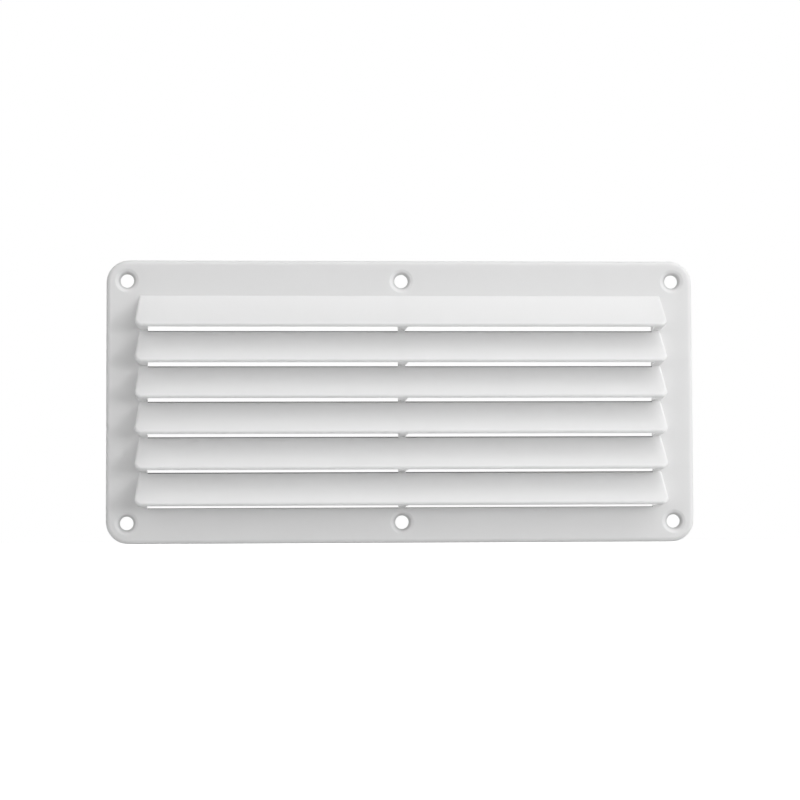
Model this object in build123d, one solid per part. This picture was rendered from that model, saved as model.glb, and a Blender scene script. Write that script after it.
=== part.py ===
from build123d import *
from math import cos, radians, sin, tan
import os

# Louvred air inlet vent moulded in one piece, in millimetres and degrees.
# The flange's back face lies on y = 0 and the louvres stand out towards -Y, with +Z up.

# Flange
FLANGE_WIDTH = 260.0
FLANGE_HEIGHT = 125.0
FLANGE_THICKNESS = 3.0
CORNER_RADIUS = 10.0
EDGE_ROUND = 2.0

# Countersunk screw holes in two rows of three
SCREW_INSET = 9.1
SCREW_HOLE_RADIUS = 3.0
COUNTERSINK_RADIUS = 4.6
COUNTERSINK_ANGLE = 90.0
RIM_BEVEL = 0.6
SCREW_COLUMNS = 3
SCREW_ROWS = 2

# Louvre field: margins from the flange's edges to the topmost slat edge and to a hood's upper ends
LOUVRE_COUNT = 6
FIELD_MARGIN = 15.7
END_MARGIN = 14.5

# One hood: the depth runs from the flange's front to the lip's corner before it is rounded
HOOD_DEPTH = 13.6
WALL = 2.0
LIP_ROUND = 1.0
END_SPLAY = 2.3
FOOT_RADIUS = 3.4
FOOT_STRIP = 0.3
ROOT = 1.0

# The pocket behind a slat is open at the back, and its front edge is the slot
END_CLOSURE = 5.9
RIB_WIDTH = 2.8
SLAT_LAND = 1.4
SILL_BEVEL = 0.6
SILL_ANGLE = 20.0
DRAFT = 3.5

# Derived sizes
pitch = (FLANGE_HEIGHT - 2 * FIELD_MARGIN) / LOUVRE_COUNT
top_z = FLANGE_HEIGHT / 2 - FIELD_MARGIN
draft_rate = tan(radians(DRAFT))
half_top = FLANGE_WIDTH / 2 - END_MARGIN
half_foot = half_top + END_SPLAY
foot_drop = pitch - FOOT_STRIP
slat_drop = foot_drop - HOOD_DEPTH * draft_rate
slat_rate = slat_drop / HOOD_DEPTH

front = Plane.XZ.offset(FLANGE_THICKNESS)
root = Plane.XZ.offset(FLANGE_THICKNESS - ROOT)
slat_face = Plane(origin=(0, -FLANGE_THICKNESS, top_z), x_dir=(1, 0, 0), z_dir=(0, -slat_drop, HOOD_DEPTH))


def make_flange():
    """Flat plate with rounded corners, a rounded front edge and countersunk screw holes with bevelled rims."""
    plate = extrude(Plane.XZ * RectangleRounded(FLANGE_WIDTH, FLANGE_HEIGHT, CORNER_RADIUS), FLANGE_THICKNESS)
    plate = fillet(plate.faces().sort_by(Axis.Y)[0].edges(), EDGE_ROUND)
    spacing_x = (FLANGE_WIDTH - 2 * SCREW_INSET) / (SCREW_COLUMNS - 1)
    spacing_z = (FLANGE_HEIGHT - 2 * SCREW_INSET) / (SCREW_ROWS - 1)
    hole = CounterSinkHole(
        SCREW_HOLE_RADIUS, COUNTERSINK_RADIUS, FLANGE_THICKNESS, COUNTERSINK_ANGLE
    )
    spots = GridLocations(spacing_x, spacing_z, SCREW_COLUMNS, SCREW_ROWS)
    plate = plate - [front * spot * hole for spot in spots]
    face = plate.faces().sort_by(Axis.Y)[0]
    rims = [rim for wire in face.inner_wires() for rim in wire.edges()]
    return chamfer(rims, RIM_BEVEL)


def make_hood():
    """Solid outside of the topmost hood: a drafted block cut by the sloping slat and rounded along its lip."""
    grow = ROOT * draft_rate
    foot_z = top_z - foot_drop - grow
    crest_z = top_z + ROOT * slat_rate + WALL
    splay_rate = END_SPLAY / foot_drop
    crest_half = half_top + grow - (crest_z - top_z) * splay_rate
    foot_half = half_foot + grow
    corners = [(-crest_half, crest_z), (crest_half, crest_z), (foot_half, foot_z), (-foot_half, foot_z)]
    outline = make_face(Polyline(*corners, close=True))
    outline = fillet(outline.vertices().sort_by(Axis.Y)[:2], FOOT_RADIUS)
    block = extrude(root * outline, ROOT + HOOD_DEPTH, taper=DRAFT)
    hood = split(block, bisect_by=slat_face, keep=Keep.BOTTOM)
    rim = hood.faces().filter_by(slat_face)[0].edges().sort_by(Axis.Y)[:-1]
    return fillet(rim, LIP_ROUND)


def make_pocket():
    """Hollow behind one half of the topmost slat, from the flange's back to the slot, with a bevelled sill."""
    sill_z = top_z - pitch
    high = top_z - SLAT_LAND
    near = RIB_WIDTH / 2
    far = half_foot - END_CLOSURE
    blocks = []
    for low in (sill_z - FLANGE_THICKNESS * draft_rate, sill_z - 2 * SILL_BEVEL):
        mouth = Pos((near + far) / 2, (low + high) / 2) * Rectangle(far - near, high - low)
        blocks.append(extrude(Plane.XZ * mouth, FLANGE_THICKNESS + HOOD_DEPTH, taper=DRAFT))
    slope = radians(SILL_ANGLE)
    bevel = Plane(
        origin=(0, SILL_BEVEL - FLANGE_THICKNESS, sill_z), x_dir=(1, 0, 0), z_dir=(0, -sin(slope), cos(slope))
    )
    block = blocks[0] + split(blocks[1], bisect_by=bevel, keep=Keep.TOP)
    return split(block, bisect_by=slat_face.offset(-WALL), keep=Keep.BOTTOM)


hood = make_hood()
pocket = make_pocket()
pockets = [pocket, mirror(pocket, Plane.YZ)]
rows = [Pos(0, 0, -row * pitch) for row in range(LOUVRE_COUNT)]

vent = make_flange() + [row * hood for row in rows]
vent = vent - [row * half for row in rows for half in pockets]
vent.label = "louvre_vent"

os.makedirs("parts", exist_ok=True)
export_step(vent, "parts/louvre_vent.step")
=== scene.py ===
"""Louvred air inlet vent: the moulding's finish, a plain studio and the camera, laid out as an add-on."""

import math

import bpy
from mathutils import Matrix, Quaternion, Vector


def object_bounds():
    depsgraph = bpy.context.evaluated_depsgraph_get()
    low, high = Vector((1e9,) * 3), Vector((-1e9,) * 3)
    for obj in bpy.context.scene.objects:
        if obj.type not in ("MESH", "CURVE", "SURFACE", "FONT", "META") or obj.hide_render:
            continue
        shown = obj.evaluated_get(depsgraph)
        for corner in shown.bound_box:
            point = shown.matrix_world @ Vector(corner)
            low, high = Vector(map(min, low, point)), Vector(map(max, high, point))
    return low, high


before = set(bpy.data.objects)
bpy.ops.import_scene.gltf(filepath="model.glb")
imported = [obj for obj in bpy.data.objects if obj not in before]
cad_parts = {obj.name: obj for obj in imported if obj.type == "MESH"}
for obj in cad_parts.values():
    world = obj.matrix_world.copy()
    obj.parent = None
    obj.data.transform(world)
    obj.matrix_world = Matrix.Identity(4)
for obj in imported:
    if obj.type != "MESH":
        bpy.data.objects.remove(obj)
cad_box = [list(corner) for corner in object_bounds()]

bl_info = {
    "name": "Louvred Air Inlet Vent",
    "version": (1, 0, 0),
    "blender": (4, 5, 0),
    "location": "View3D > Sidebar > Vent",
    "description": "Finishes a one-piece louvred vent and sets it in a plain studio",
    "category": "Object",
}

NODE = "louvre_vent"

# Colour that the painted shade on the sill bevels and in the screw holes mixes towards
PAINTED_SHADE_BLACK = (0.0, 0.0, 0.0, 1.0)
WHITE = (1.0, 1.0, 1.0, 1.0)

# Faint drift of shade and gloss over the plastic, and its moulded grain
DRIFT_SCALE = 22.0
DRIFT_DETAIL = 3.0
DRIFT_DARKEST = 0.975
GLOSS_SPREAD = 0.05
GRAIN_DETAIL = 1.0
GRAIN_STRENGTH = 0.3

# Light in the plastic: it bends as in most plastics and spreads alike in every colour
PLASTIC_IOR = 1.5
SCATTER_COLOURS = (1.0, 1.0, 1.0)

# Windows that pick out the painted shade on the sill bevels and screw holes, in metres from the vent's
# middle planes and back.
# A window's mask rises between its first two limits and falls between its last two.
# The sills lie at whole louvre pitches.
LOUVRE_PITCH = 0.0156
NO_LOWER_LIMIT = (-1.0, -0.9)
SILL_REACH = (0.0016, 0.0018, 0.1115, 0.1117)
SILL_DEPTH = (0.0022, 0.0024, 0.00335, 0.00355)
SILL_NEAR = (*NO_LOWER_LIMIT, 0.0006, 0.0007)
SILL_HEIGHT = (-0.0471, -0.04702, 0.04, 0.041)
HOLE_REACH = (*NO_LOWER_LIMIT, 0.1265, 0.127)
HOLE_DEPTH = (0.0, 0.0001, 0.0014, 0.0026)
HOLE_ROWS = (0.0475, 0.048, 0.0585, 0.059)

# The room's light by the Y of its direction: it starts at the first and is full at the second
ROOM_START = 0.05
ROOM_FULL = -0.45

# Nearest distance that the camera shows
CAMERA_NEAR = 0.01


class VentMoulding(bpy.types.PropertyGroup):
    """Finish of the white plastic moulding, with its painted shade on the sill bevels and in the screw
    holes.
    """

    colour: bpy.props.FloatVectorProperty(
        name="Plastic colour",
        description="Base colour of the white plastic",
        subtype="COLOR",
        size=3,
        min=0.0,
        max=1.0,
        default=(0.93, 0.93, 0.93),
    )
    # Painted shade: the narrow bevel along each slot's lower edge is darkened in colour where it lies deep
    # in shade
    painted_sill_shade: bpy.props.FloatProperty(
        name="Sill shade",
        description="How dark the narrow bevel along each slot's lower edge is",
        subtype="FACTOR",
        min=0.0,
        max=1.0,
        default=0.85,
    )
    # Painted shade: the bores of the screw holes are darkened in colour where they lie in shade
    painted_hole_shade: bpy.props.FloatProperty(
        name="Hole shade",
        description="How dark the screw holes are below their countersinks",
        subtype="FACTOR",
        min=0.0,
        max=1.0,
        default=0.35,
    )
    scatter_depth: bpy.props.FloatProperty(
        name="Scatter depth",
        description="How far light spreads inside the plastic",
        unit="LENGTH",
        default=0.0015,
    )
    roughness: bpy.props.FloatProperty(
        name="Roughness",
        description="Mean roughness of the satin surface",
        subtype="FACTOR",
        min=0.0,
        max=1.0,
        default=0.48,
    )
    grain_size: bpy.props.FloatProperty(
        name="Grain size",
        description="Width of the fine spark-eroded grain left by the mould",
        unit="LENGTH",
        default=0.0006,
    )
    grain_height: bpy.props.FloatProperty(
        name="Grain height",
        description="Height of the fine grain",
        unit="LENGTH",
        default=0.00001,
    )


class VentStudio(bpy.types.PropertyGroup):
    """Floor, lights and camera around the vent."""

    floor_drop: bpy.props.FloatProperty(
        name="Floor drop",
        description="Height of the vent's lower edge above the floor",
        unit="LENGTH",
        default=0.29,
    )
    floor_width: bpy.props.FloatProperty(
        name="Floor width",
        description="Side of the square floor",
        unit="LENGTH",
        default=24.0,
    )
    floor_colour: bpy.props.FloatVectorProperty(
        name="Floor colour",
        description="Colour of the pale floor",
        subtype="COLOR",
        size=3,
        min=0.0,
        max=1.0,
        default=(0.8, 0.8, 0.8),
    )
    floor_near: bpy.props.FloatProperty(
        name="Near floor glow",
        description="How much of its white the floor keeps close to the vent, where it shows the shadow",
        subtype="FACTOR",
        min=0.0,
        max=1.0,
        default=0.35,
    )
    floor_fade: bpy.props.FloatProperty(
        name="Floor fade",
        description="Distance from the vent at which the floor is fully white",
        unit="LENGTH",
        default=1.1,
    )
    room_right: bpy.props.FloatProperty(
        name="Room light right",
        description="Strength of the room's light from the right, in front of the vent",
        default=2.8,
    )
    room_left: bpy.props.FloatProperty(
        name="Room light left",
        description="Strength of the room's light from the left, in front of the vent",
        default=1.6,
    )
    key_place: bpy.props.FloatVectorProperty(
        name="Key place",
        description="Centre of the soft lamp high on the right",
        subtype="TRANSLATION",
        unit="LENGTH",
        size=3,
        default=(0.366, -0.211, 0.906),
    )
    key_power: bpy.props.FloatProperty(
        name="Key power",
        description="Power of the soft lamp high on the right",
        unit="POWER",
        default=1.98,
    )
    side_place: bpy.props.FloatVectorProperty(
        name="Side place",
        description="Centre of the small lamp in front and to the right",
        subtype="TRANSLATION",
        unit="LENGTH",
        size=3,
        default=(0.704, -0.704, 0.087),
    )
    side_power: bpy.props.FloatProperty(
        name="Side power",
        description="Power of the small lamp in front and to the right",
        unit="POWER",
        default=1.36,
    )
    rear_place: bpy.props.FloatVectorProperty(
        name="Rear place",
        description="Centre of the soft lamp behind the vent",
        subtype="TRANSLATION",
        unit="LENGTH",
        size=3,
        default=(0.0, 0.985, -0.174),
    )
    rear_power: bpy.props.FloatProperty(
        name="Rear power",
        description="Power of the soft lamp behind the vent",
        unit="POWER",
        default=1.5,
    )
    lamp_width: bpy.props.FloatProperty(
        name="Lamp width",
        description="Side of the large square lamps",
        unit="LENGTH",
        default=0.6,
    )
    side_width: bpy.props.FloatProperty(
        name="Side width",
        description="Side of the small square lamp",
        unit="LENGTH",
        default=0.25,
    )
    camera_turn: bpy.props.FloatProperty(
        name="Camera turn",
        description="Camera's angle round the vent from straight in front, to the right",
        subtype="ANGLE",
        default=math.radians(-3.0),
    )
    camera_rise: bpy.props.FloatProperty(
        name="Camera rise",
        description="Camera's angle above the vent's middle",
        subtype="ANGLE",
        default=math.radians(-2.753),
    )
    camera_roll: bpy.props.FloatProperty(
        name="Camera roll",
        description="Camera's turn about its own line of sight",
        subtype="ANGLE",
        default=math.radians(0.22),
    )
    camera_distance: bpy.props.FloatProperty(
        name="Camera distance",
        description="Distance from the camera to the point that it looks at",
        unit="LENGTH",
        default=0.87,
    )
    camera_aim: bpy.props.FloatVectorProperty(
        name="Camera aim",
        description="Point that the camera looks at",
        subtype="TRANSLATION",
        unit="LENGTH",
        size=3,
        default=(-0.00073, -0.003, 0.00058),
    )
    camera_lens: bpy.props.FloatProperty(
        name="Lens",
        description="Focal length in millimetres on a 36 mm sensor",
        default=88.53,
    )


def add_node(tree, kind, inputs, **settings):
    """A new node with its settings, whose inputs are set to a value or joined to another node's output."""
    node = tree.nodes.new(kind)
    for name, value in settings.items():
        setattr(node, name, value)
    for socket, value in inputs.items():
        if isinstance(value, bpy.types.NodeSocket):
            tree.links.new(value, node.inputs[socket])
        else:
            node.inputs[socket].default_value = value
    return node


def calculate(tree, operation, first, second):
    """The outcome of one calculation on two numbers or outputs."""
    return add_node(tree, "ShaderNodeMath", {0: first, 1: second}, operation=operation).outputs["Value"]


def rescale(tree, value, start, end, low=0.0, high=1.0):
    """A value carried from the range start to end to the range low to high, and held at its ends."""
    inputs = {"Value": value, "From Min": start, "From Max": end, "To Min": low, "To Max": high}
    return add_node(tree, "ShaderNodeMapRange", inputs).outputs["Result"]


def within(tree, strength, *windows):
    """A mask of the given strength where every value lies inside its window."""
    mask = strength
    for value, (start, full, end, gone) in windows:
        for none, whole in ((start, full), (gone, end)):
            mask = calculate(tree, "MULTIPLY", mask, rescale(tree, value, none, whole))
    return mask


def seen_rays(tree):
    """An output that is 1 for rays that show the background: seen directly, mirrored or through glass."""
    rays = tree.nodes.new("ShaderNodeLightPath").outputs
    outside = calculate(tree, "MAXIMUM", rays["Is Camera Ray"], rays["Is Glossy Ray"])
    return calculate(tree, "MAXIMUM", outside, rays["Is Transmission Ray"])


def new_material(name):
    """An empty node material, as (material, tree)."""
    material = bpy.data.materials.new(name)
    material.use_nodes = True
    material.node_tree.nodes.clear()
    return material, material.node_tree


def painted_shade_places(tree, place, finish):
    """A mask of painted shade on the sills' bevels and in the screw holes, each at its own strength."""
    spot = add_node(tree, "ShaderNodeSeparateXYZ", {"Vector": place}).outputs
    apart = add_node(tree, "ShaderNodeVectorMath", {0: place}, operation="ABSOLUTE").outputs["Vector"]
    away = add_node(tree, "ShaderNodeSeparateXYZ", {"Vector": apart}).outputs
    near = calculate(tree, "PINGPONG", spot["Z"], LOUVRE_PITCH / 2)
    sills = within(
        tree,
        finish.painted_sill_shade,
        (away["X"], SILL_REACH),
        (away["Y"], SILL_DEPTH),
        (near, SILL_NEAR),
        (spot["Z"], SILL_HEIGHT),
    )
    holes = within(
        tree,
        finish.painted_hole_shade,
        (away["X"], HOLE_REACH),
        (away["Y"], HOLE_DEPTH),
        (away["Z"], HOLE_ROWS),
    )
    return calculate(tree, "MAXIMUM", sills, holes)


def white_plastic(finish):
    """Satin white plastic that light enters, with a drift of shade and gloss, painted shade on sill bevels
    and in screw holes, and grain.
    """
    material, tree = new_material("white_plastic_satin")
    place = tree.nodes.new("ShaderNodeTexCoord").outputs["Object"]
    pattern = {"Vector": place, "Scale": DRIFT_SCALE, "Detail": DRIFT_DETAIL}
    drift = add_node(tree, "ShaderNodeTexNoise", pattern).outputs["Fac"]

    shade = add_node(tree, "ShaderNodeValToRGB", {"Fac": drift})
    darkest, palest = shade.color_ramp.elements
    darkest.color = (*[DRIFT_DARKEST * part for part in finish.colour], 1.0)
    palest.color = (*finish.colour, 1.0)

    # Painted shade: the tone is mixed towards black on the sill bevels and in the screw holes
    tone = add_node(tree, "ShaderNodeMix", {}, data_type="RGBA")
    amount, plain, dark = (socket for socket in tone.inputs if socket.enabled)
    tree.links.new(painted_shade_places(tree, place, finish), amount)
    tree.links.new(shade.outputs["Color"], plain)
    dark.default_value = PAINTED_SHADE_BLACK
    colour = next(socket for socket in tone.outputs if socket.enabled)

    gloss = rescale(tree, drift, 0.0, 1.0, finish.roughness - GLOSS_SPREAD, finish.roughness + GLOSS_SPREAD)

    pattern = {"Vector": place, "Scale": 1.0 / finish.grain_size, "Detail": GRAIN_DETAIL}
    grain = add_node(tree, "ShaderNodeTexNoise", pattern).outputs["Fac"]
    relief = {"Strength": GRAIN_STRENGTH, "Distance": finish.grain_height, "Height": grain}
    bump = add_node(tree, "ShaderNodeBump", relief).outputs["Normal"]

    surface = {
        "Base Color": colour,
        "Roughness": gloss,
        "IOR": PLASTIC_IOR,
        "Normal": bump,
        "Subsurface Weight": 1.0,
        "Subsurface Radius": SCATTER_COLOURS,
        "Subsurface Scale": finish.scatter_depth,
    }
    plastic = add_node(tree, "ShaderNodeBsdfPrincipled", surface).outputs["BSDF"]
    add_node(tree, "ShaderNodeOutputMaterial", {"Surface": plastic})
    return material


def floor_paint(studio):
    """Pale matt floor that shows the shadow close to the vent and turns to plain white further out."""
    material, tree = new_material("pale_floor")
    place = tree.nodes.new("ShaderNodeTexCoord").outputs["Object"]
    distance = add_node(tree, "ShaderNodeVectorMath", {0: place}, operation="LENGTH").outputs["Value"]
    fade = rescale(tree, distance, studio.floor_drop, studio.floor_fade, studio.floor_near)
    shown = calculate(tree, "MULTIPLY", fade, seen_rays(tree))
    glow = add_node(tree, "ShaderNodeEmission", {"Strength": shown}).outputs["Emission"]
    matt = add_node(tree, "ShaderNodeBsdfDiffuse", {"Color": (*studio.floor_colour, 1.0)}).outputs["BSDF"]
    both = add_node(tree, "ShaderNodeAddShader", {0: matt, 1: glow}).outputs["Shader"]
    add_node(tree, "ShaderNodeOutputMaterial", {"Surface": both})
    return material


def set_world(right, left):
    """Room light from both sides in front of the vent, with a white background where it is seen."""
    world = bpy.data.worlds.new("white_room")
    bpy.context.scene.world = world
    world.use_nodes = True
    tree = world.node_tree
    tree.nodes.clear()
    place = tree.nodes.new("ShaderNodeTexCoord").outputs["Generated"]
    axes = add_node(tree, "ShaderNodeSeparateXYZ", {"Vector": place}).outputs
    from_right = rescale(tree, axes["X"], 0.0, 1.0, 0.0, right)
    from_left = rescale(tree, axes["X"], 0.0, -1.0, 0.0, left)
    both = calculate(tree, "ADD", from_right, from_left)
    ahead = rescale(tree, axes["Y"], ROOM_START, ROOM_FULL, 0.0, both)
    level = rescale(tree, seen_rays(tree), 0.0, 1.0, ahead, 1.0)
    light = add_node(tree, "ShaderNodeBackground", {"Color": WHITE, "Strength": level}).outputs["Background"]
    add_node(tree, "ShaderNodeOutputWorld", {"Surface": light})


def soft_light(name, place, width, power):
    """A square area lamp turned towards the vent."""
    data = bpy.data.lights.new(name, "AREA")
    data.shape = "SQUARE"
    data.size = width
    data.energy = power
    lamp = bpy.data.objects.new(name, data)
    bpy.context.scene.collection.objects.link(lamp)
    lamp.location = place
    lamp.rotation_euler = (-Vector(place)).to_track_quat("-Z", "Y").to_euler()
    lamp.visible_camera = False


def add_floor(studio):
    """One wide floor plane below the vent."""
    bpy.ops.object.select_all(action="DESELECT")
    low = cad_box[0][2] - studio.floor_drop
    bpy.ops.mesh.primitive_plane_add(size=studio.floor_width, location=(0.0, 0.0, low))
    floor = bpy.context.object
    floor.name = "studio_floor"
    bpy.ops.object.transform_apply(location=True, rotation=True, scale=True)
    floor.data.materials.append(floor_paint(studio))


def place_camera(studio):
    """The camera on its line of sight to the aim, rolled about it."""
    data = bpy.data.cameras.new("studio_camera")
    data.lens = studio.camera_lens
    data.clip_start = CAMERA_NEAR
    data.clip_end = 2 * studio.floor_width
    camera = bpy.data.objects.new("studio_camera", data)
    bpy.context.scene.collection.objects.link(camera)
    turn, rise = studio.camera_turn, studio.camera_rise
    back = Vector((math.sin(turn) * math.cos(rise), -math.cos(turn) * math.cos(rise), math.sin(rise)))
    camera.location = Vector(studio.camera_aim) + studio.camera_distance * back
    camera.rotation_mode = "QUATERNION"
    roll = Quaternion((0.0, 0.0, 1.0), -studio.camera_roll)
    camera.rotation_quaternion = (-back).to_track_quat("-Z", "Y") @ roll
    bpy.context.scene.camera = camera


class VENT_OT_finish_moulding(bpy.types.Operator):
    """Gives the moulding its satin white plastic."""

    bl_idname = "vent.finish_moulding"
    bl_label = "Finish Moulding"
    bl_options = {"REGISTER", "UNDO"}

    def execute(self, context):
        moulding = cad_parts[NODE]
        moulding.data.materials.clear()
        moulding.data.materials.append(white_plastic(context.scene.vent_moulding))
        return {"FINISHED"}


class VENT_OT_set_studio(bpy.types.Operator):
    """Sets the floor, the room's light, the lamps and the camera."""

    bl_idname = "vent.set_studio"
    bl_label = "Set Studio"
    bl_options = {"REGISTER", "UNDO"}

    def execute(self, context):
        studio = context.scene.vent_studio
        add_floor(studio)
        set_world(studio.room_right, studio.room_left)
        soft_light("key_lamp", studio.key_place, studio.lamp_width, studio.key_power)
        soft_light("side_lamp", studio.side_place, studio.side_width, studio.side_power)
        soft_light("rear_lamp", studio.rear_place, studio.lamp_width, studio.rear_power)
        place_camera(studio)
        context.scene.view_settings.view_transform = "Standard"
        return {"FINISHED"}


class VENT_PT_sidebar(bpy.types.Panel):
    """Lists the vent's settings and steps in the sidebar."""

    bl_label = "Louvred Vent"
    bl_idname = "VENT_PT_sidebar"
    bl_space_type = "VIEW_3D"
    bl_region_type = "UI"
    bl_category = "Vent"

    def draw(self, context):
        layout = self.layout
        layout.use_property_split = True
        for title, group, operator in (
            ("Moulding", context.scene.vent_moulding, VENT_OT_finish_moulding),
            ("Studio", context.scene.vent_studio, VENT_OT_set_studio),
        ):
            box = layout.box()
            box.label(text=title)
            for name in group.bl_rna.properties.keys():
                if name not in {"rna_type", "name"}:
                    box.prop(group, name)
            box.operator(operator.bl_idname)


CLASSES = (VentMoulding, VentStudio, VENT_OT_finish_moulding, VENT_OT_set_studio, VENT_PT_sidebar)


def register():
    for cls in CLASSES:
        bpy.utils.register_class(cls)
    bpy.types.Scene.vent_moulding = bpy.props.PointerProperty(type=VentMoulding)
    bpy.types.Scene.vent_studio = bpy.props.PointerProperty(type=VentStudio)


def unregister():
    del bpy.types.Scene.vent_studio
    del bpy.types.Scene.vent_moulding
    for cls in reversed(CLASSES):
        bpy.utils.unregister_class(cls)


def main():
    register()
    bpy.ops.vent.finish_moulding()
    bpy.ops.vent.set_studio()


if __name__ == "__main__":
    main()
